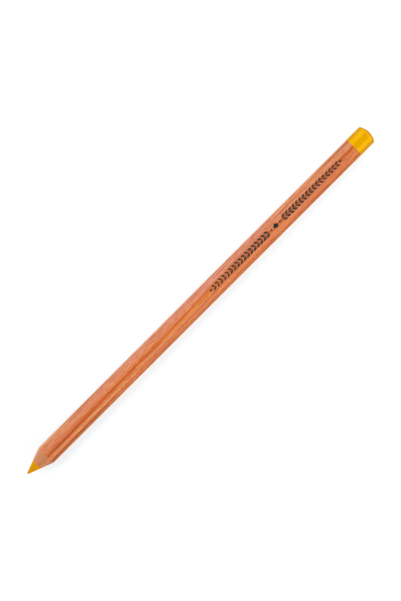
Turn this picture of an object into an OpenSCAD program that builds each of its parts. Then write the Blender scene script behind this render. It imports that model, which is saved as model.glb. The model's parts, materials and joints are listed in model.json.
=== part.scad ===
// Round wood-cased pastel pencil, sharpened at one end and dipped in coloured lacquer at the other.
// Two grooved slats are glued face to face round a pastel core. The blank is turned round, its
// rear end is domed and dipped, and its front end is sharpened through wood and core.
// It lies along X with its writing tip towards -X. X = 0 is halfway along it, Y = 0 is its middle
// plane, and Z = 0 is the surface it lies on.

/* [Overall] */
// Length from the writing tip to the top of the dipped end
pencil_length = 175; // [120:1:200]

/* [Wood casing] */
// Diameter of the bare barrel
barrel_d = 7.6; // [6.8:0.1:10]

/* [Pastel core] */
// Diameter of the core, and of the groove that the two slats close round it
core_d = 4.1; // [2.5:0.1:5]

/* [Sharpened point] */
// Full angle of the sharpened cone
point_angle = 40; // [24:1:50]
// Radius of the blunt writing tip
tip_r = 0.45; // [0.2:0.05:1]

/* [Dipped end] */
// Length of the dipped end, from its rim to the top of its dome
dip_length = 8; // [5:0.5:20]
// Rise of the wooden dome under the lacquer
dome_h = 1.2; // [0.5:0.1:2]
// Radius that softens the edge between barrel and dome
dome_edge_r = 0.3; // [0.1:0.05:0.8]
// Thickness of the dried lacquer
lacquer_t = 0.06; // [0.04:0.01:0.2]

/* [Hidden] */
$fn = 96;

barrel_r = barrel_d / 2;
core_r = core_d / 2;

// The lacquer stands proud of the barrel, so the dipped end is what the pencil lies on
axis_height = barrel_r + lacquer_t;

// Stations are distances behind the writing tip, along the axis
half_angle = point_angle / 2;
cone_apex = tip_r - tip_r / sin(half_angle);
wood_end = pencil_length - lacquer_t;
rim_station = pencil_length - dip_length;

// The dome is part of a sphere, and a small arc rolls it over into the barrel
dome_r = (pow(barrel_r, 2) + pow(dome_h, 2)) / (2 * dome_h);
dome_centre = [0, wood_end - dome_r];
edge_angle = acos((barrel_r - dome_edge_r) / (dome_r - dome_edge_r));
edge_centre = dome_centre + (dome_r - dome_edge_r) * [cos(edge_angle), sin(edge_angle)];

// ---- Half-sections: X is the distance from the axis, and Y the station ----

// Slice of a circle between two directions less than 120 degrees apart
module sector(radius, from, to) {
    intersection() {
        circle(radius);
        polygon([
            [0, 0],
            2 * radius * [cos(from), sin(from)],
            2 * radius * [cos(to), sin(to)]
        ]);
    }
}

// All that the sharpener leaves: a cone with a rounded tip, wider than the barrel at its back
module point_section() {
    translate([0, tip_r]) sector(tip_r, -90, -half_angle);
    polygon([
        [0, tip_r],
        [tip_r * cos(half_angle), tip_r - tip_r * sin(half_angle)],
        [barrel_d, cone_apex + barrel_d / tan(half_angle)],
        [barrel_d, pencil_length],
        [0, pencil_length]
    ]);
}

// The unsharpened blank with its domed rear end, grown outwards by the thickness of a skin
module blank_section(skin = 0) {
    polygon([
        [0, 0],
        [barrel_r + skin, 0],
        [barrel_r + skin, edge_centre[1]],
        edge_centre,
        dome_centre
    ]);
    translate(edge_centre) sector(dome_edge_r + skin, 0, edge_angle);
    translate(dome_centre) sector(dome_r + skin, edge_angle, 90);
}

// From the groove to the outside of the casing
module slat_section() {
    difference() {
        intersection() {
            blank_section();
            point_section();
        }
        square([core_r, pencil_length]);
    }
}

// The core runs the whole way, flush with the wood at the cone and at the dome
module core_section() {
    intersection() {
        blank_section();
        point_section();
        square([core_r, pencil_length]);
    }
}

// A skin over the blank's rear end, with a quarter-round rim where the dipping stopped
module dipped_section() {
    rim_full = rim_station + lacquer_t;
    translate([barrel_r, rim_full]) sector(lacquer_t, -90, 0);
    difference() {
        intersection() {
            blank_section(lacquer_t);
            translate([0, rim_full]) square([barrel_d, dip_length]);
        }
        blank_section();
    }
}

// ---- Pieces ----

// Stands the turned shape's axis along X, with the writing tip at the -X end
module lie_down() {
    translate([-pencil_length / 2, 0, axis_height]) rotate([0, 90, 0]) children();
}

// Half of the casing, on one side of the glued joint
module slat(turn) {
    lie_down() rotate([0, 0, turn]) rotate_extrude(angle = 180) slat_section();
}

module upper_slat() {
    color([0.88, 0.55, 0.39]) slat(90);
}

module lower_slat() {
    color([0.84, 0.50, 0.33]) slat(-90);
}

module pastel_core() {
    color([0.93, 0.65, 0.04]) lie_down() rotate_extrude() core_section();
}

module dipped_end() {
    color([0.97, 0.74, 0.02]) lie_down() rotate_extrude() dipped_section();
}

upper_slat();
lower_slat();
pastel_core();
dipped_end();
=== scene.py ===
# %% [markdown]
# # A round pastel pencil in cedar
#
# A pastel pencil is a thick stick of pressed pigment in a wooden casing. Two grooved slats are
# glued round the stick, the blank is turned round, varnished, dipped in coloured lacquer at one
# end and sharpened at the other. This lesson dresses a CAD model of such a pencil: the solids
# give every place and size, and Blender gives the surfaces their grain, gloss and powder.
#
# The first cell loads the solids.

# %% Load the pencil's frame
import json
import math

import bpy
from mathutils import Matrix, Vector


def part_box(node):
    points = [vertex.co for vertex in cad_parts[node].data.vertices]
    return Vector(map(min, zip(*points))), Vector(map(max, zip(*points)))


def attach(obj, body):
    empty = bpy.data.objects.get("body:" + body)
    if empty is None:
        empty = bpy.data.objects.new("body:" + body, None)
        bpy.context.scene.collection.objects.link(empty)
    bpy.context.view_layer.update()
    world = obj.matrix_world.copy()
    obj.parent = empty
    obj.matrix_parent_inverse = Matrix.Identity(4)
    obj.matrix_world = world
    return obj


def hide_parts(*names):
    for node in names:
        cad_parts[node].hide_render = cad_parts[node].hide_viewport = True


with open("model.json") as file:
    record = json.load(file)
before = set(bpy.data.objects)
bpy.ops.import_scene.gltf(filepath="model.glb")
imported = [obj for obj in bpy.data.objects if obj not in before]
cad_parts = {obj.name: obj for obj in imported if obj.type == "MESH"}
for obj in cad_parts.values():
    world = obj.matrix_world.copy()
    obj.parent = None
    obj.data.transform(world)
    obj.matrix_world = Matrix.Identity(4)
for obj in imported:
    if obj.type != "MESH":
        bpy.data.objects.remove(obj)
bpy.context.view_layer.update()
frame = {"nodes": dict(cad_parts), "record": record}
print("solids:", ", ".join(sorted(frame["nodes"])))

# %% [markdown]
# ## Sizes
#
# A lathe turner works from a drawing with two numbers at each place: how far along, and how far
# from the axis. The boxes round the solids and the part's record, which states its bare barrel
# as a mount, hold nearly all of them, so they are read here and not typed in again.

# %% Read the sizes off the solids
MM = 0.001

slat_low, slat_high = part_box("upper_slat")
core_low, core_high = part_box("pastel_core")
dip_low, dip_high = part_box("dipped_end")

barrel = next(mount for mount in frame["record"]["mounts"] if mount["name"] == "barrel")

tip_x, mouth_x, rim_x, end_x = core_low.x, slat_low.x, dip_low.x, dip_high.x
groove_end_x = slat_high.x
shoulder_x = barrel["pos_m"][0] - barrel["dims"]["length_mm"] * MM / 2
axis_z = (dip_low.z + dip_high.z) / 2
barrel_r = barrel["dims"]["r_mm"] * MM
core_r = (core_high.z - core_low.z) / 2
lacquer_r = dip_high.z - axis_z
film = lacquer_r - barrel_r

half_angle = math.atan2(barrel_r - core_r, shoulder_x - mouth_x)
apex_x = mouth_x - core_r / math.tan(half_angle)
tip_r = (tip_x - apex_x) / (1 / math.sin(half_angle) - 1)

dome_rise = core_high.x - groove_end_x
dome_r = (core_r ** 2 + dome_rise ** 2) / (2 * dome_rise)
dome_x = core_high.x - dome_r

# Barrel and dome are rolled together, and this is the direction in which they meet
dome_edge_r = 0.3 * MM
dome_edge_turn = math.asin((barrel_r - dome_edge_r) / (dome_r - dome_edge_r))
dome_edge_x = dome_x + (dome_r - dome_edge_r) * math.cos(dome_edge_turn)

print(f"length {(end_x - tip_x) / MM:.1f} mm")
print(f"barrel {2 * barrel_r / MM:.2f}, core {2 * core_r / MM:.2f} mm across")
print(f"shoulder {(shoulder_x - tip_x) / MM:.2f} and rim {(rim_x - tip_x) / MM:.2f} mm behind the tip")
print(f"cone half-angle {math.degrees(half_angle):.2f} degrees, tip radius {tip_r / MM:.2f} mm")
print(f"dome radius {dome_r / MM:.2f}, lacquer {film / MM:.3f} mm")

# %% [markdown]
# ## Node trees written as sums
#
# A node tree is easier to read as a formula than as a list of links. `Wire` wraps one output of
# a node, and its operators add Math nodes, so `1 - mask` makes a Subtract node. `Tree.add` makes
# any other node: first its settings, then its inputs. Both serve materials and Geometry Nodes.

# %% A wire that can be used in sums
class Wire:
    """One output of a node. Each operator adds a Math node to the same tree."""

    def __init__(self, tree, socket):
        self.tree = tree
        self.socket = socket

    def maths(self, operation, *values):
        names = ("Value", "Value_001", "Value_002")
        return self.tree.add("ShaderNodeMath", {"operation": operation}, dict(zip(names, values)))

    def __add__(self, other):
        return self.maths("ADD", self, other)

    def __sub__(self, other):
        return self.maths("SUBTRACT", self, other)

    def __rsub__(self, other):
        return self.maths("SUBTRACT", other, self)

    def __mul__(self, other):
        return self.maths("MULTIPLY", self, other)

    def __truediv__(self, other):
        return self.maths("DIVIDE", self, other)

    __radd__ = __add__
    __rmul__ = __mul__

    def sin(self):
        return self.maths("SINE", self)

    def cos(self):
        return self.maths("COSINE", self)

    def size(self):
        return self.maths("ABSOLUTE", self)

    def fraction(self):
        return self.maths("FRACT", self)

    def floor(self):
        return self.maths("FLOOR", self)

    def least(self, other):
        return self.maths("MINIMUM", self, other)

    def rise(self, low, high):
        """0 below low, 1 above high, and a smooth step between them."""
        limits = {"Value": self, "From Min": low, "From Max": high}
        return self.tree.add("ShaderNodeMapRange", {"interpolation_type": "SMOOTHSTEP"}, limits)


print("sums on wires:", ", ".join(name for name in vars(Wire) if not name.startswith("_")))


# %% A tree that adds nodes
class Tree:
    """A node tree that is written in script."""

    def __init__(self, tree):
        self.tree = tree

    def add(self, kind, settings=None, inputs=None, output=0):
        """Adds a node: its settings, then its inputs. Returns one of its outputs."""
        node = self.tree.nodes.new(kind)
        for name, value in (settings or {}).items():
            if name == "stops":
                set_stops(node.color_ramp, value)
            else:
                setattr(node, name, value)
        for name, value in (inputs or {}).items():
            socket = find_socket(node.inputs, name)
            if isinstance(value, Wire):
                self.tree.links.new(value.socket, socket)
            else:
                socket.default_value = value
        return Wire(self, find_socket(node.outputs, output)) if len(node.outputs) else None

    def parts(self, vector):
        """The X, Y and Z of a vector."""
        first = self.add("ShaderNodeSeparateXYZ", {}, {"Vector": vector})
        return [Wire(self, socket) for socket in first.socket.node.outputs]

    def vector(self, x, y, z):
        return self.add("ShaderNodeCombineXYZ", {}, {"X": x, "Y": y, "Z": z})

    def noise(self, vector, detail=4.0, roughness=0.55):
        """Soft noise from 0 to 1 that repeats nothing, about one blob for each unit."""
        inputs = {"Vector": vector, "Scale": 1.0, "Detail": detail, "Roughness": roughness}
        return self.add("ShaderNodeTexNoise", {}, inputs)


def find_socket(sockets, name):
    """A socket by its identifier, or else by its label or number."""
    matches = [socket for socket in sockets if socket.identifier == name]
    return matches[0] if matches else sockets[name]


def set_stops(ramp, stops):
    """Colour stops as pairs of a place and a colour, in order."""
    ramp.elements[0].position, ramp.elements[0].color = stops[0][0], (*stops[0][1], 1)
    ramp.elements[1].position, ramp.elements[1].color = stops[-1][0], (*stops[-1][1], 1)
    for place, colour in stops[1:-1]:
        ramp.elements.new(place).color = (*colour, 1)


print("node helpers:", ", ".join(name for name in vars(Tree) if not name.startswith("_")))

# %% [markdown]
# ## Turning the pencil
#
# Everything but the stamped border is round, so every piece starts as a flat outline: X is the
# place along the pencil and Y the distance from its axis. Points are close together where a
# surface bends or carries marks, and far apart where it is straight and plain.

# %% Outlines as strings of points
def straight(start, end, spacing):
    """Points along a straight line, up to but not including its end."""
    count = max(1, round(math.dist(start, end) / spacing))
    return [
        (start[0] + (end[0] - start[0]) * i / count, start[1] + (end[1] - start[1]) * i / count)
        for i in range(count)
    ]


def curved(centre, radius, start, end, count):
    """Points along an arc between two directions in radians, not including its end."""
    angles = [start + (end - start) * i / count for i in range(count)]
    return [(centre[0] + radius * math.cos(a), centre[1] + radius * math.sin(a)) for a in angles]


def outline(name, points, closed):
    """A mesh of edges only, which the lathe turns into a solid."""
    edges = [(i, i + 1) for i in range(len(points) - 1)]
    if closed:
        edges.append((len(points) - 1, 0))
    mesh = bpy.data.meshes.new(name)
    mesh.from_pydata([(x, r, 0) for x, r in points], edges, [])
    piece = bpy.data.objects.new(name, mesh)
    bpy.context.scene.collection.objects.link(piece)
    print(f"{name}: outline of {len(points)} points")
    return piece


OUTLINE_HELPERS = (straight, curved, outline)
print("outline helpers:", ", ".join(helper.__name__ for helper in OUTLINE_HELPERS))

# %% [markdown]
# The lathe itself is a Geometry Nodes tree. It doesn't spin the outline straight away. It first
# draws it out sideways into a strip, so that every point knows its place along the pencil (X),
# how far round it is (Y, from 0 to 1) and its radius (minus Z). Marks of the cutter and a softened
# edge are then easy sums on those three numbers, and the last sum rolls the strip up.

# %% How a Geometry Nodes tree begins and ends
def open_tree(name, inputs):
    """A Geometry Nodes tree with one geometry in and out, and named inputs."""
    group = bpy.data.node_groups.new(name, "GeometryNodeTree")
    group.interface.new_socket("Geometry", in_out="INPUT", socket_type="NodeSocketGeometry")
    group.interface.new_socket("Geometry", in_out="OUTPUT", socket_type="NodeSocketGeometry")
    for label, kind in inputs.items():
        group.interface.new_socket(label, in_out="INPUT", socket_type="NodeSocket" + kind)
    tree = Tree(group)
    entry = group.nodes.new("NodeGroupInput")
    return tree, {socket.name: Wire(tree, socket) for socket in entry.outputs}


def close_tree(tree, geometry, finish):
    """Makes any copies real, gives the result its finish, and hands it out."""
    geometry = tree.add("GeometryNodeRealizeInstances", {}, {"Geometry": geometry})
    geometry = tree.add("GeometryNodeSetMaterial", {}, {"Geometry": geometry, "Material": finish})
    tree.add("NodeGroupOutput", {}, {"Geometry": geometry})
    print(f"{tree.tree.name} tree: {len(tree.tree.nodes)} nodes")
    return tree.tree


TREE_HELPERS = (open_tree, close_tree)
print("tree helpers:", ", ".join(helper.__name__ for helper in TREE_HELPERS))


# %% The lathe tree
WELD = 1e-7


def lathe_tree():
    tree, given = open_tree("lathe", {
        "Turn from": "Float", "Turn by": "Float", "Steps": "Int", "Axis height": "Float",
        "Mark depth": "Float", "Marks along": "Float", "Marks round": "Float",
        "Marks end": "Float", "Edge depth": "Float", "Edge width": "Float",
        "Least radius": "Float", "Finish": "Material",
    })
    profile = tree.add("GeometryNodeMeshToCurve", {}, {"Mesh": given["Geometry"]})
    line = tree.add("GeometryNodeCurvePrimitiveLine", {}, {"Start": (0, 0, 0), "End": (0, 1, 0)})
    line = tree.add("GeometryNodeResampleCurve", {}, {"Curve": line, "Count": given["Steps"] + 1})
    strip = tree.add("GeometryNodeCurveToMesh", {}, {
        "Curve": line, "Profile Curve": profile, "Fill Caps": True,
    })

    along, share, minus_radius = tree.parts(tree.add("GeometryNodeInputPosition"))
    radius = 0 - minus_radius
    angle = given["Turn from"] + share * given["Turn by"]

    # Marks run round the piece: fine along it, long around it, and only on its outside
    round_y, round_z = angle.sin() * given["Marks round"], angle.cos() * given["Marks round"]
    marks = tree.noise(tree.vector(along * given["Marks along"], round_y, round_z), 3.0)
    outside = radius.rise(given["Least radius"], given["Least radius"] * 1.02)
    marked = 1 - along.rise(given["Marks end"] - 0.1 * MM, given["Marks end"])
    carve = given["Mark depth"] * marks * marked * outside

    # The two long edges of a slat are softened a little, which leaves a hairline at each joint
    to_edge = share.least(1 - share) * given["Turn by"] * radius
    carve = carve + given["Edge depth"] * outside * (1 - to_edge.rise(0, given["Edge width"]))

    turned = radius - carve
    rolled = tree.vector(along, turned * angle.sin(), given["Axis height"] + turned * angle.cos())
    solid = tree.add("GeometryNodeSetPosition", {}, {"Geometry": strip, "Position": rolled})
    solid = tree.add("GeometryNodeMergeByDistance", {}, {"Geometry": solid, "Distance": WELD})
    return close_tree(tree, solid, given["Finish"])


LATHE = lathe_tree()


# %% Run a tree and keep its result as a plain mesh
def volume(mesh):
    """The volume inside a closed mesh: negative if its faces point inwards."""
    mesh.calc_loop_triangles()
    corners = [[mesh.vertices[i].co for i in t.vertices] for t in mesh.loop_triangles]
    return sum(a.dot(b.cross(c)) for a, b, c in corners) / 6


def grow(piece, group, settings):
    """Runs a Geometry Nodes tree on a piece, and leaves the result as its own plain mesh."""
    modifier = piece.modifiers.new(group.name, "NODES")
    modifier.node_group = group
    for item in group.interface.items_tree:
        if item.in_out == "INPUT" and item.name in settings:
            modifier[item.identifier] = settings[item.name]
    graph = bpy.context.evaluated_depsgraph_get()
    mesh = bpy.data.meshes.new_from_object(piece.evaluated_get(graph))
    piece.modifiers.remove(modifier)
    if volume(mesh) < 0:
        mesh.flip_normals()
    mesh.name = piece.name
    piece.data = mesh
    for face in mesh.polygons:
        face.use_smooth = True
    size = volume(mesh) / MM ** 3
    print(f"{piece.name}: {len(mesh.loop_triangles)} triangles, {size:.1f} cubic millimetres")
    return piece


MESH_HELPERS = (volume, grow)
print("mesh helpers:", ", ".join(helper.__name__ for helper in MESH_HELPERS))

# %% [markdown]
# ## Finishes
#
# A material is a recipe for light. Each one here is procedural: it reads the place of a point on
# the pencil in millimetres, so grain runs through the wood as it does through a real plank, and
# the sharpened cone shows the same rings as the barrel.

# %% Start a material, and close it with a shader
def start_material(name):
    """A new material's tree, and the place of each point on the pencil, in millimetres."""
    material = bpy.data.materials.new(name)
    material.use_nodes = True
    material.node_tree.nodes.clear()
    tree = Tree(material.node_tree)
    place = tree.add("ShaderNodeTexCoord", {}, {}, "Object")
    inputs = {"Vector": place, "Scale": 1 / MM}
    place = tree.add("ShaderNodeVectorMath", {"operation": "SCALE"}, inputs)
    x, y, z = tree.parts(place)
    return material, tree, x - tip_x / MM, y, z - axis_z / MM


def close_material(material, tree, surface):
    shader = tree.add("ShaderNodeBsdfPrincipled", {}, surface)
    tree.add("ShaderNodeOutputMaterial", {}, {"Surface": shader})
    print(f"{material.name}: {len(tree.tree.nodes)} nodes")
    return material


MATERIAL_HELPERS = (start_material, close_material)
print("material helpers:", ", ".join(helper.__name__ for helper in MATERIAL_HELPERS))


# %% Colours, and the two ways to mix them
def paint(red, green, blue):
    return (red, green, blue, 1)


def blend(tree, share, first, second):
    """A colour that goes from first to second."""
    inputs = {"Factor_Float": share, "A_Color": first, "B_Color": second}
    return tree.add("ShaderNodeMix", {"data_type": "RGBA"}, inputs, "Result_Color")


def stain(tree, share, colour, tint):
    """Multiplies a colour by a tint."""
    settings = {"data_type": "RGBA", "blend_type": "MULTIPLY"}
    inputs = {"Factor_Float": share, "A_Color": colour, "B_Color": tint}
    return tree.add("ShaderNodeMix", settings, inputs, "Result_Color")


def tint_both_ways(tree, pattern, spread, colour, low_tint, high_tint):
    """Stains a colour where a pattern sinks below its middle, and otherwise where it rises."""
    colour = stain(tree, pattern.rise(0.5, 0.5 - spread), colour, low_tint)
    return stain(tree, pattern.rise(0.5, 0.5 + spread), colour, high_tint)


COLOUR_HELPERS = (paint, blend, stain, tint_both_ways)
print("colour helpers:", ", ".join(helper.__name__ for helper in COLOUR_HELPERS))

# %% [markdown]
# ### Cedar
#
# A growth ring starts pale, darkens slowly and ends in a thin brown line, after which the next
# ring starts at once. A dry spell in summer leaves a faint false ring in the pale part. Seen on a
# slat, the rings are slanted layers that cut the round barrel in long wandering lines.
#
# The recipe measures how far a point lies across those layers, counts whole rings, which grow a
# little narrower to one side, and lets a colour ramp draw what is left over. The ramp runs from
# the dark line back to the pale start. White noise on the whole number gives each ring its own
# strength, as wet and dry years do. The rings are clearest next to the point and fade behind it.

# %% Growth rings
RING_WIDTH = 2.7
NARROWING = 0.02
DARK_LINE = (0.48, 0.084, 0.010)
LATE_WOOD = (0.57, 0.122, 0.018)
EARLY_WOOD = (0.66, 0.192, 0.050)
SUMMER_WOOD = (0.68, 0.212, 0.062)
FALSE_RING = (0.62, 0.158, 0.034)
PALE_WOOD = (0.68, 0.216, 0.066)
FIRST_WOOD = (0.65, 0.195, 0.052)
EVEN_WOOD = (0.62, 0.160, 0.036)


def growth_rings(tree, across, along, seed):
    """The colour of the rings, from the distance across them in millimetres."""
    rings = across / RING_WIDTH + across * across * NARROWING
    colour = tree.add("ShaderNodeValToRGB", {"stops": [
        (0.0, DARK_LINE),
        (0.15, DARK_LINE),
        (0.26, LATE_WOOD),
        (0.56, EARLY_WOOD),
        (0.68, SUMMER_WOOD),
        (0.76, FALSE_RING),
        (0.82, PALE_WOOD),
        (0.90, PALE_WOOD),
        (0.975, FIRST_WOOD),
        (1.0, DARK_LINE),
    ]}, {"Fac": rings.fraction()})
    year = tree.add("ShaderNodeTexWhiteNoise", {"noise_dimensions": "1D"}, {
        "W": rings.floor() + (seed - 1),
    })
    patchy = tree.noise(tree.vector(along * 0.035, seed, 0.0), 2.0)
    contrast = year * 0.9 + patchy * 0.4 + 0.04 - along.rise(20.0, 60.0) * 0.32
    return blend(tree, contrast, paint(*EVEN_WOOD), colour)


print(f"growth rings about {RING_WIDTH} mm wide")

# %% [markdown]
# Finer things run along the grain too, each at its own scale: slow shifts of hue, broad streaks,
# a mottle of short spindles, grit, hair-thin fibres and a few dark resin flecks. Each is a noise
# texture that is stretched along the pencil, and multiplies the colour by a tint.
#
# Two slower things lie under them. One flank is painted paler and rosier, a painted sheen, and the
# other deeper and more orange, a painted shade. A few soft stripes, paler or darker, come and go
# along the barrel.

# %% Grain, painted flank sheen and shade, and stripes
# Tints that paint light on the flanks: a pale rosy sheen on one, a deeper orange shade on the other
PAINTED_SHEEN = paint(1.14, 1.78, 3.80)
PAINTED_SHADE = paint(1.00, 0.94, 0.66)

# In millimetres: where a stripe's middle lies across the pencil, its half width, and where it
# grows and fades along it. Then its tint
STRIPES = (
    (0.0, 2.2, (20.0, 40.0), (90.0, 115.0), (1.09, 1.16, 1.08)),
    (0.0, 2.2, (125.0, 155.0), (170.0, 180.0), (0.92, 0.86, 0.80)),
    (2.3, 0.9, (18.0, 30.0), (100.0, 125.0), (0.92, 0.84, 0.87)),
    (2.2, 1.3, (150.0, 162.0), (170.0, 180.0), (0.87, 0.82, 0.90)),
    (3.2, 1.0, (70.0, 90.0), (120.0, 135.0), (0.92, 0.80, 0.80)),
    (-2.3, 0.9, (35.0, 50.0), (75.0, 90.0), (1.07, 1.16, 1.06)),
    (-3.1, 0.9, (5.0, 9.0), (30.0, 50.0), (0.86, 0.92, 0.95)),
)


def grain(tree, wood, fibres, x, y, z, seed):
    """Stains the wood with its grain. Also returns the flecks and the grit, for the surface."""
    hue = tree.noise(tree.vector(x * 0.02, y * 0.5 + seed, z * 0.5), 2.0)
    streaks = tree.noise(tree.vector(x * 0.035 + seed, y * 1.7, z * 1.7), 4.0, 0.62)
    mottle = tree.noise(tree.vector(x * 0.22, y * 2.2 + seed, z * 2.2), 4.0, 0.62)
    grit = tree.noise(tree.vector(x * 0.7, y * 5.0 + seed, z * 5.0), 3.0, 0.7)
    flecks = tree.noise(tree.vector(x * 0.7, y * 12.0 + seed, z * 12.0), 2.0, 0.5).rise(0.60, 0.70)
    for pattern, spread, low_tint, high_tint in (
        (hue, 0.20, (0.98, 1.02, 1.40), (1.01, 1.00, 0.75)),
        (streaks, 0.20, (0.85, 0.66, 0.48), (1.11, 1.30, 1.65)),
        (mottle, 0.22, (0.85, 0.68, 0.52), (1.12, 1.32, 1.65)),
        (grit, 0.20, (0.81, 0.64, 0.48), (1.15, 1.36, 1.70)),
    ):
        wood = tint_both_ways(tree, pattern, spread, wood, paint(*low_tint), paint(*high_tint))
    wood = stain(tree, fibres.rise(0.58, 0.34), wood, paint(0.84, 0.73, 0.62))
    return stain(tree, flecks * 0.7, wood, paint(0.70, 0.56, 0.46)), flecks, grit


def painted_sheen_shade_and_stripes(tree, wood, bare, x, y):
    """Paints a sheen on one flank and shade on the other, less so on the bare cone, and lays the
    stripes over them.
    """
    # Painted sheen: the +Y flank, on the key lamp's side, is made paler and rosier
    wood = stain(tree, y.rise(0.6, 3.6) * (1 - bare * 0.8), wood, PAINTED_SHEEN)
    # Painted shade: the -Y flank is made deeper and more orange
    wood = stain(tree, y.rise(0.2, -2.0) * (1 - bare * 0.7), wood, PAINTED_SHADE)
    for middle, half_width, (start, full), (fading, end), tint in STRIPES:
        share = (y - middle).size().rise(half_width, half_width * 0.4)
        share = share * x.rise(start, full) * x.rise(end, fading)
        wood = stain(tree, share, wood, paint(*tint))
    return wood


print(f"{len(STRIPES)} stripes on the barrel")

# %% [markdown]
# The sharpened cone is cut wood: paler and duller than the barrel, scratched round by the cutter,
# and dusted yellow where the pastel rubbed off on it. On the barrel the wood lies under a clear
# varnish, which deepens its colour and makes it shine. So one recipe makes both, and a mask that
# is 1 on the cone and 0 behind its shoulder chooses between them.

# %% The cut cone
def cut_wood(tree, wood, ragged, x, y, z, seed):
    """The wood as the cutter left it, and the scratches that it left."""
    mouth = (mouth_x - tip_x) / MM
    scratches = tree.noise(tree.vector(x * 9.0, y * 0.8, z * 0.8 + seed), 3.0, 0.6)
    fresh_cut, rubbed_off = paint(0.68, 0.325, 0.175), paint(0.70, 0.30, 0.02)
    cut = blend(tree, 0.5, wood, fresh_cut)
    cut = stain(tree, scratches.rise(0.46, 0.30), cut, paint(0.97, 0.94, 0.91))
    cut = stain(tree, scratches.rise(0.54, 0.72), cut, paint(1.02, 1.03, 1.04))
    dust = 1 - (x + ragged * 4.0).rise(mouth, mouth + 0.45)
    return blend(tree, dust * 0.45, cut, rubbed_off), scratches


print(f"cut wood from {(mouth_x - tip_x) / MM:.1f} to {(shoulder_x - tip_x) / MM:.1f} mm")

# %% The cedar recipe
SWAY = 0.2
SWAY_CREST = 75.0
SWAY_LENGTH = 130.0


def cedar(name, first_ring, ring_slope, ring_tilt, seed):
    """Cedar whose rings are set by where the first one starts, how it climbs and how it leans."""
    material, tree, x, y, z = start_material(name)
    fibres = tree.noise(tree.vector(x * 0.30, y * 10.0, z * 10.0 + seed), 3.0, 0.6)

    # Rings: they climb along the pencil, sway once and a bit, and are ragged by the fibres
    sway = ((x - SWAY_CREST) / (SWAY_LENGTH / (2 * math.pi))).cos() * -SWAY
    ripple = tree.noise(tree.vector(x * 0.09 + seed, y * 0.12, z * 0.12), 2.0) - 0.5
    across = first_ring + x * ring_slope + sway + ripple * 0.35 + (fibres - 0.5) * 0.25
    across = across - y * math.cos(ring_tilt) - z * math.sin(ring_tilt)
    wood = growth_rings(tree, across, x, seed)
    wood, flecks, grit = grain(tree, wood, fibres, x, y, z, seed)

    # The mask of the bare cone, with a ragged edge where the cutter broke into the varnish
    shoulder = (shoulder_x - tip_x) / MM
    ragged = (grit - 0.5) * 0.16
    bare = 1 - (x + ragged).rise(shoulder - 0.05, shoulder + 0.01)
    cut, scratches = cut_wood(tree, wood, ragged, x, y, z, seed)
    # Painted sheen and shade on the flanks, then the stripes
    wood = painted_sheen_shade_and_stripes(tree, blend(tree, bare, wood, cut), bare, x, y)

    # The glued joint, a hair-thin line along both sides
    joint = 1 - z.size().rise(0.015, 0.05)
    wood = stain(tree, joint * (1 - bare) * 0.6, wood, paint(0.6, 0.5, 0.45))

    varnished = fibres * 0.5 - flecks * 0.5
    height = varnished + (scratches * 2.2 + fibres * 2.0 - varnished) * bare
    bump = tree.add("ShaderNodeBump", {}, {"Strength": 0.35, "Distance": 0.03 * MM, "Height": height})
    return close_material(material, tree, {
        "Base Color": wood,
        "Roughness": 0.42 + bare * 0.45,
        "Specular IOR Level": 0.2,
        "Coat Weight": (1 - bare) * 0.5,
        "Coat Roughness": 0.2,
        "Coat IOR": 1.5,
        "Normal": bump,
    })


TOP_CEDAR = cedar(
    "cedar_top", first_ring=-0.39, ring_slope=0.024, ring_tilt=math.radians(8), seed=3.0
)
LOW_CEDAR = cedar(
    "cedar_low", first_ring=0.4, ring_slope=-0.011, ring_tilt=math.radians(-14), seed=11.0
)

# %% [markdown]
# ### Pastel
#
# The stick is pigment and chalk with hardly any binder. It scatters light evenly and has no
# gloss at all. Up close it is grainy and cloudy, with pale powder on it, pits where grains broke
# out and fine grooves left by the cutter. The grain also dents the surface, through a Bump node.

# %% The pastel recipe
def pastel():
    material, tree, x, y, z = start_material("pastel_yellow")
    grains = tree.noise(tree.vector(x * 16.0, y * 16.0, z * 16.0), 5.0, 0.7)
    clouds = tree.noise(tree.vector(x * 0.9, y * 0.9, z * 0.9), 2.0)
    grooves = tree.noise(tree.vector(x * 10.0, y * 0.5, z * 0.5), 4.0, 0.65)
    pits = tree.noise(tree.vector(x * 11.0, y * 11.0, z * 11.0 + 7.0), 2.0, 0.5).rise(0.60, 0.74)
    powder = tree.noise(tree.vector(x * 3.0, y * 6.0, z * 6.0), 5.0, 0.75).rise(0.44, 0.66)
    deep_yellow, bright_yellow = paint(0.78, 0.350, 0.002), paint(0.86, 0.415, 0.004)
    colour = blend(tree, clouds, deep_yellow, bright_yellow)
    colour = blend(tree, powder * 0.35, colour, paint(0.92, 0.50, 0.02))
    colour = stain(tree, grains.rise(0.52, 0.30) * 0.8, colour, paint(0.86, 0.78, 0.6))
    colour = stain(tree, grooves.rise(0.48, 0.30) * 0.7, colour, paint(0.88, 0.80, 0.6))
    colour = stain(tree, pits, colour, paint(0.87, 0.77, 0.55))
    bump = tree.add("ShaderNodeBump", {}, {
        "Strength": 0.9, "Distance": 0.06 * MM, "Height": grains + grooves * 0.8 - pits * 0.8,
    })
    return close_material(material, tree, {
        "Base Color": colour,
        "Roughness": 0.85 + grains * 0.15,
        "Diffuse Roughness": 0.9,
        "Specular IOR Level": 0.0,
        "Normal": bump,
    })


PASTEL = pastel()

# %% [markdown]
# ### Lacquer
#
# The end was dipped in thick coloured lacquer, twice or more. It levels itself as it dries, so
# it is smooth and glossy with only a slow unevenness, which the reflections give away. At its
# rim the coat is thin, and the wood makes it a little darker. Its gloss is tinted yellow, so the
# reflected lights deepen the colour and don't whiten it.

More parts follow.
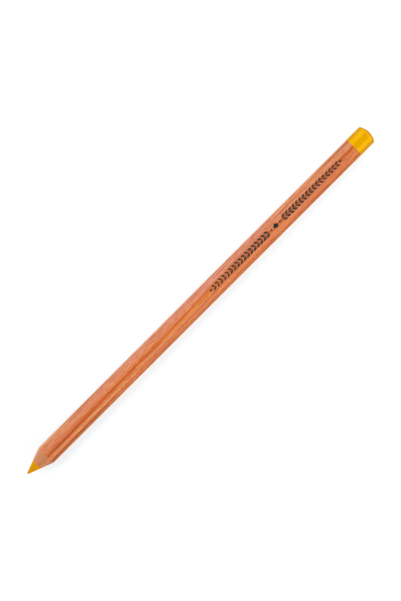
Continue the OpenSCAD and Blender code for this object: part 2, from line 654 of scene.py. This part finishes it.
# %% The lacquer recipe
def lacquer():
    material, tree, x, y, z = start_material("lacquer_yellow")
    swell = tree.noise(tree.vector(x * 0.55, y * 0.55, z * 0.55), 2.0)
    specks = tree.noise(tree.vector(x * 7.0, y * 7.0, z * 7.0), 2.0)
    behind_rim = x - (rim_x - tip_x) / MM
    thin = 1 - behind_rim.rise(0.0, 0.18)
    deep_yellow, bright_yellow = paint(0.68, 0.285, 0.0005), paint(0.72, 0.315, 0.0005)
    colour = blend(tree, swell, deep_yellow, bright_yellow)
    colour = stain(tree, thin * 0.5, colour, paint(0.9, 0.8, 0.6))
    bump = tree.add("ShaderNodeBump", {}, {
        "Strength": 0.25, "Distance": 0.05 * MM, "Height": swell + specks * 0.06,
    })
    return close_material(material, tree, {
        "Base Color": colour,
        "Roughness": 0.17 + specks * 0.1,
        "Specular IOR Level": 1.0,
        "Specular Tint": paint(1.0, 1.0, 0.0),
        "Normal": bump,
    })


LACQUER = lacquer()

# %% [markdown]
# ### Foil
#
# The border on the barrel is hot-stamped: a heated die presses a dark green foil into the
# varnish. It is a little duller than the varnish, and thin where the wood has a pore.

# %% The foil recipe
def foil():
    material, tree, x, y, z = start_material("foil_green")
    worn = tree.noise(tree.vector(x * 1.6, y * 12.0, z * 12.0), 3.0, 0.6)
    deep_green, thin_green = paint(0.003, 0.014, 0.011), paint(0.010, 0.030, 0.022)
    colour = blend(tree, worn.rise(0.45, 0.7), deep_green, thin_green)
    bump = tree.add("ShaderNodeBump", {}, {"Strength": 0.3, "Distance": 0.01 * MM, "Height": worn})
    return close_material(material, tree, {
        "Base Color": colour,
        "Roughness": 0.35 + worn * 0.2,
        "Specular IOR Level": 0.25,
        "Normal": bump,
    })


FOIL = foil()

# %% [markdown]
# ## The wooden casing
#
# Each slat is half of a tube that ends in a cone in front and in a low dome behind. Its outline
# is a loop: up the cone, round the crisp shoulder, along the barrel, over the dome, and back
# through the groove. The lathe turns it by half a turn only, and closes both flat glued faces.

# %% The outline of a slat
def shoulder_arc():
    """The shoulder is crisp, but not a knife edge."""
    radius = 0.12 * MM
    setback = radius * math.tan(half_angle / 2)
    centre = (shoulder_x + setback, barrel_r - radius)
    return curved(centre, radius, math.pi / 2 + half_angle, math.pi / 2, 6)


def rear_points(skin, inner_r):
    """Over the dome's edge and down to a radius, grown outwards by a skin."""
    centre = (dome_edge_x, barrel_r - dome_edge_r)
    edge = curved(centre, dome_edge_r + skin, math.pi / 2, dome_edge_turn, 10)
    stop = math.asin(inner_r / (dome_r + skin))
    return edge + curved((dome_x, 0), dome_r + skin, dome_edge_turn, stop, 40)


def slat_points():
    shoulder = shoulder_arc()
    points = straight((mouth_x, core_r), shoulder[0], 0.035 * MM)
    points += shoulder
    points += straight((shoulder_x + 0.03 * MM, barrel_r), (dome_edge_x, barrel_r), 0.9 * MM)
    points += rear_points(0.0, core_r)
    return points + straight((groove_end_x, core_r), (mouth_x, core_r), 4 * MM)


slope = math.dist((mouth_x, core_r), shoulder_arc()[0])
print(f"the bare cone is {slope / MM:.2f} mm long down its slope")


# %% Turn both slats
def slat(name, node, turn_from, finish):
    piece = grow(outline(name, slat_points(), True), LATHE, {
        "Turn from": turn_from, "Turn by": math.pi, "Steps": 110, "Axis height": axis_z,
        "Mark depth": 0.012 * MM, "Marks along": 6.0 / MM, "Marks round": 3.0,
        "Marks end": shoulder_x, "Edge depth": 0.02 * MM, "Edge width": 0.08 * MM,
        "Least radius": core_r * 1.001, "Finish": finish,
    })
    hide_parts(node)
    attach(piece, "root")
    return piece


slat("cedar_upper_slat", "upper_slat", -math.pi / 2, TOP_CEDAR)
slat("cedar_lower_slat", "lower_slat", math.pi / 2, LOW_CEDAR)

# %% [markdown]
# ## The pastel core
#
# The core is one stick from the blunt tip to the dome. It is turned all the way round, and both
# ends of its outline lie on the axis, where the lathe merges the points into a pole.

# %% Turn the core
def core_points():
    ball = (tip_x + tip_r, 0)
    points = curved(ball, tip_r, math.pi, math.pi / 2 + half_angle, 12)
    start = (ball[0] - tip_r * math.sin(half_angle), tip_r * math.cos(half_angle))
    points += straight(start, (mouth_x, core_r), 0.04 * MM)
    points += straight((mouth_x, core_r), (groove_end_x, core_r), 4 * MM)
    points += curved((dome_x, 0), dome_r, math.asin(core_r / dome_r), 0, 8)
    return points + [(dome_x + dome_r, 0)]


core = grow(outline("pastel_stick", core_points(), False), LATHE, {
    "Turn from": 0.0, "Turn by": 2 * math.pi, "Steps": 128, "Axis height": axis_z,
    "Mark depth": 0.03 * MM, "Marks along": 5.0 / MM, "Marks round": 2.0,
    "Marks end": mouth_x - 0.01 * MM, "Edge depth": 0.0, "Edge width": 0.08 * MM,
    "Least radius": 0.15 * MM, "Finish": PASTEL,
})
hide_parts("pastel_core")
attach(core, "root")

# %% [markdown]
# ## The dipped end
#
# The lacquer is a thin cup over the rear end. Its rim is round, because the wet lacquer drew
# itself up into a bead where the dipping stopped.

# %% Turn the lacquer cup
def cup_points():
    bead = (rim_x + film, barrel_r)
    inner = list(reversed(rear_points(0.0, 0.0)))
    points = curved(bead, film, math.pi, math.pi / 2, 6)
    points += straight((bead[0], lacquer_r), (dome_edge_x, lacquer_r), 0.25 * MM)
    points += rear_points(film, 0.0) + [(dome_x + dome_r + film, 0)]
    points += [(dome_x + dome_r, 0)] + inner
    return points + straight(inner[-1], (rim_x, barrel_r), 0.5 * MM)[1:]


cup = grow(outline("lacquer_cup", cup_points(), True), LATHE, {
    "Turn from": 0.0, "Turn by": 2 * math.pi, "Steps": 160, "Axis height": axis_z,
    "Mark depth": 0.006 * MM, "Marks along": 0.5 / MM, "Marks round": 1.5,
    "Marks end": end_x, "Edge depth": 0.0, "Edge width": 0.08 * MM,
    "Least radius": barrel_r * 1.0005, "Finish": LACQUER,
})
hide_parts("dipped_end")
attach(cup, "root")

# %% [markdown]
# ## The stamped border
#
# A heated die presses foil onto the finished barrel. Its pattern here is a traditional leaf
# border: from a lozenge in the middle, a stem with paired leaves grows towards each end. Drawing
# 70 leaves by hand would be dull and a texture would blur up close, so a Geometry Nodes tree
# draws a left and a right leaf, sets copies of them along the stem, turns one half round to make
# the other, thickens the flat pattern into foil and rolls it onto the barrel.

# %% Flat shapes for the die
def patch(tree, columns, rows, shape):
    """A flat patch: shape turns two numbers that run from 0 to 1 into X and Y."""
    grid = tree.add("GeometryNodeMeshGrid", {}, {
        "Size X": 1.0, "Size Y": 1.0, "Vertices X": columns + 1, "Vertices Y": rows + 1,
    })
    u, v = tree.parts(tree.add("GeometryNodeInputPosition"))[:2]
    x, y = shape(u + 0.5, v + 0.5)
    return tree.add("GeometryNodeSetPosition", {}, {
        "Geometry": grid, "Position": tree.vector(x, y, 0.0),
    })


def join(tree, *pieces):
    """Several geometries as one."""
    node = tree.tree.nodes.new("GeometryNodeJoinGeometry")
    for piece in pieces:
        tree.tree.links.new(piece.socket, node.inputs["Geometry"])
    return Wire(tree, node.outputs["Geometry"])


def leaf(tree, given, curl):
    """A leaf of two halves, with a bare rib between them, that curls to one side."""
    length = given["Leaf length"]
    half_width, half_rib = given["Leaf width"] / 2, given["Rib"] / 2

    # The right half is drawn from its far edge to the rib, so that its faces look up as well
    def half(side):
        def shape(u, v):
            width = half_width * (0.07 + (u * math.pi).sin() * (1.18 - u * 0.42))
            reach = half_rib + v * width if side > 0 else 0 - half_rib - (1 - v) * width
            return given["Stem"] * 1.6 + u * length, reach + length * u * u * curl
        return patch(tree, 12, 1, shape)
    return join(tree, half(1), half(-1))


def lozenge(tree, middle, length, width):
    """A lozenge whose two ends are a little blunt."""
    def shape(u, v):
        return middle + (u - 0.5) * length, (v - 0.5) * (1.03 - (u * 2 - 1).size()) * width
    return patch(tree, 8, 8, shape)


print("die shapes:", ", ".join(shape.__name__ for shape in (patch, leaf, lozenge)))


# %% The border tree
def border_tree():
    tree, given = open_tree("stamped_border", {
        "Half length": "Float", "First leaf": "Float", "Spacing": "Float", "Lean": "Float",
        "Leaf length": "Float", "Leaf width": "Float", "Rib": "Float", "Stem": "Float",
        "Foil": "Float", "Radius": "Float", "Axis height": "Float", "Middle": "Float",
        "Finish": "Material",
    })
    stem_end = given["Half length"] - given["Leaf length"]
    stem_start = given["First leaf"] - given["Spacing"] * 0.4

    # Leaves in pairs, smaller towards the end, and one more that ends the stem
    pairs = ((stem_end - given["First leaf"]) / given["Spacing"]).floor() + 1
    places = tree.add("GeometryNodeMeshLine", {"mode": "OFFSET", "count_mode": "TOTAL"}, {
        "Count": pairs, "Start Location": tree.vector(given["First leaf"], 0.0, 0.0),
        "Offset": tree.vector(given["Spacing"], 0.0, 0.0),
    })
    along = tree.parts(tree.add("GeometryNodeInputPosition"))[0]
    shrink = 1.06 - along / given["Half length"] * 0.28

    def leaves(side):
        turn = tree.vector(0.0, 0.0, given["Lean"] * side)
        return tree.add("GeometryNodeInstanceOnPoints", {}, {
            "Points": places,
            "Instance": leaf(tree, given, -0.16 * side),
            "Rotation": tree.add("FunctionNodeEulerToRotation", {}, {"Euler": turn}),
            "Scale": tree.vector(shrink, shrink, 1.0),
        })

    def stem_shape(u, v):
        return stem_start + (stem_end - stem_start) * u, (v - 0.5) * given["Stem"] * (1.1 - u * 0.5)

    last_leaf = tree.add("GeometryNodeTransform", {}, {
        "Geometry": leaf(tree, given, 0.0), "Translation": tree.vector(stem_end, 0.0, 0.0),
        "Scale": (0.8, 0.8, 1.0),
    })
    bud_place, bud_size = given["First leaf"] * 0.64, given["Leaf width"]
    bud = lozenge(tree, bud_place, bud_size * 1.1, bud_size * 0.95)
    sprig = join(tree, leaves(1), leaves(-1), last_leaf, patch(tree, 1, 2, stem_shape), bud)
    other = tree.add("GeometryNodeTransform", {}, {"Geometry": sprig, "Rotation": (0, 0, math.pi)})
    centre = lozenge(tree, 0.0, given["Leaf length"] * 1.3, given["Leaf length"] * 1.05)
    flat = join(tree, sprig, other, centre)
    flat = tree.add("GeometryNodeRealizeInstances", {}, {"Geometry": flat})

    # Thicken: lift the faces, and close the underside with a turned copy of the flat pattern
    lifted = tree.add("GeometryNodeExtrudeMesh", {"mode": "FACES"}, {
        "Mesh": flat, "Offset Scale": given["Foil"], "Individual": False,
    })
    under = tree.add("GeometryNodeFlipFaces", {}, {"Mesh": flat})
    foil = tree.add("GeometryNodeMergeByDistance", {}, {
        "Geometry": join(tree, lifted, under), "Distance": WELD,
    })

    # Roll it onto the barrel
    x, y, z = tree.parts(tree.add("GeometryNodeInputPosition"))
    angle, radius = y / given["Radius"], given["Radius"] + z
    height = given["Axis height"] + radius * angle.cos()
    rolled = tree.vector(given["Middle"] + x, radius * angle.sin(), height)
    foil = tree.add("GeometryNodeSetPosition", {}, {"Geometry": foil, "Position": rolled})
    return close_tree(tree, foil, given["Finish"])


BORDER = border_tree()

# %% Stamp the border
FOIL_THICKNESS = 0.012 * MM
PRESSED_IN = 0.003 * MM
BORDER_TO_RIM = 40 * MM

# The tree draws the whole pattern, so the object that carries it starts with no points at all
border = grow(outline("stamped_border", [], False), BORDER, {
    "Half length": 34 * MM, "First leaf": 3.4 * MM, "Spacing": 1.7 * MM, "Lean": math.radians(41),
    "Leaf length": 1.95 * MM, "Leaf width": 0.82 * MM, "Rib": 0.05 * MM, "Stem": 0.17 * MM,
    "Foil": FOIL_THICKNESS, "Radius": barrel_r - PRESSED_IN, "Axis height": axis_z,
    "Middle": rim_x - BORDER_TO_RIM, "Finish": FOIL,
})
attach(border, "root")

# %% [markdown]
# ## The stage
#
# The pencil lies on a plain pale floor. The floor glows a little, so the contact shadow stays
# light. Far from the pencil, where the lamps don't reach, the glow is stronger, or the floor
# would turn grey there in a low view. The pencil's gloss doesn't mirror it.

# %% Floor
FLOOR_HALF = 3.0
FLOOR_PAINT = (0.66, 0.72, 0.73)
NEAR_GLOW = (0.386, 0.42, 0.433)
FAR_GLOW = (1.0, 1.0, 1.0)
GLOW_RISES = (250.0, 600.0)


def pale_floor():
    material, tree, x, y, z = start_material("pale_floor")
    place = tree.vector(x - (end_x - tip_x) / 2 / MM, y, 0.0)
    distance = tree.add("ShaderNodeVectorMath", {"operation": "LENGTH"}, {"Vector": place}, "Value")
    glow = blend(tree, distance.rise(*GLOW_RISES), paint(*NEAR_GLOW), paint(*FAR_GLOW))
    return close_material(material, tree, {
        "Base Color": paint(*FLOOR_PAINT),
        "Roughness": 1.0,
        "Specular IOR Level": 0.0,
        "Emission Color": glow,
        "Emission Strength": 1.0,
    })


def floor():
    mesh = bpy.data.meshes.new("floor")
    corners = [(x * FLOOR_HALF, y * FLOOR_HALF, 0) for x, y in ((-1, -1), (1, -1), (1, 1), (-1, 1))]
    mesh.from_pydata(corners, [], [(0, 1, 2, 3)])
    mesh.materials.append(pale_floor())
    plane = bpy.data.objects.new("floor", mesh)
    bpy.context.scene.collection.objects.link(plane)
    plane.visible_glossy = False


floor()

# %% [markdown]
# Four soft boxes light the pencil. A broad one along each side gives each flank its own sheen, and
# the strip between them, which faces the camera, stays deep. A dim one overhead keeps that strip
# from going dull, and a small one low behind the dipped end rounds its dome. The fill lamp is
# swung a little towards the dipped end, which leaves its side of the cone in some shade.

# %% Lights
LAMP_DISTANCE = 0.8
ROOM_LIGHT = 0.08


def softbox(name, bearing, zenith, wide, tall, radiance):
    """A soft light round the pencil. Bearing 0 is behind the dipped end, zenith 0 straight up."""
    light = bpy.data.lights.new(name, "AREA")
    light.shape = "RECTANGLE"
    light.size, light.size_y = wide, tall
    light.energy = radiance * math.pi * wide * tall
    lamp = bpy.data.objects.new(name, light)
    bpy.context.scene.collection.objects.link(lamp)
    bearing, zenith = math.radians(bearing), math.radians(zenith)
    level = Vector((math.cos(bearing), math.sin(bearing), 0))
    away = level * math.sin(zenith) + Vector((0, 0, math.cos(zenith)))
    lamp.location = Vector((0, 0, axis_z)) + away * LAMP_DISTANCE
    lamp.rotation_euler = (-away).to_track_quat("-Z", "Y").to_euler()
    lamp.visible_camera = False
    print(f"{name}: {light.energy:.1f} W")


softbox("key_softbox", bearing=90, zenith=54, wide=1.6, tall=1.0, radiance=1.9)
softbox("fill_softbox", bearing=-75, zenith=60, wide=1.6, tall=0.7, radiance=2.15)
softbox("top_softbox", bearing=-90, zenith=11, wide=1.6, tall=0.6, radiance=0.5)
softbox("end_softbox", bearing=0, zenith=68, wide=0.7, tall=0.5, radiance=2.2)

world = bpy.data.worlds.new("studio")
world.use_nodes = True
world.node_tree.nodes["Background"].inputs["Color"].default_value = paint(1, 1, 1)
world.node_tree.nodes["Background"].inputs["Strength"].default_value = ROOM_LIGHT
bpy.context.scene.world = world

# %% [markdown]
# ## The camera
#
# The camera hangs straight above with a long lens, so nothing converges. It is turned by an
# eighth of a turn, which puts the tip at the lower left and the dipped end at the upper right,
# and it stands a little to the side, so the pencil lies just left of and below the middle.

# %% Camera
SENSOR = 36.0
CAMERA_HEIGHT = 1.6
FIELD_HEIGHT = 217.6 * MM
CAMERA_TURN = math.radians(-45)
SHIFT_RIGHT = 0.76 * MM
SHIFT_UP = 0.87 * MM


def camera():
    lens = bpy.data.cameras.new("camera")
    lens.sensor_width = SENSOR
    lens.lens = SENSOR * CAMERA_HEIGHT / FIELD_HEIGHT
    lens.clip_start, lens.clip_end = 0.01, 20.0
    eye = bpy.data.objects.new("camera", lens)
    bpy.context.scene.collection.objects.link(eye)
    right = Vector((math.cos(CAMERA_TURN), math.sin(CAMERA_TURN), 0))
    up = Vector((-math.sin(CAMERA_TURN), math.cos(CAMERA_TURN), 0))
    middle = Vector(((tip_x + end_x) / 2, 0, axis_z + CAMERA_HEIGHT))
    eye.location = middle + right * SHIFT_RIGHT + up * SHIFT_UP
    eye.rotation_euler = (0, 0, CAMERA_TURN)
    bpy.context.scene.camera = eye
    print(f"camera: {lens.lens:.0f} mm lens, {CAMERA_HEIGHT} m above the pencil")


camera()
bpy.context.scene.view_settings.view_transform = "Standard"

# %% [markdown] Turned pieces have facets and marks, so the finished pencil's box differs from the box of the solids by a few thousandths of a millimetre.
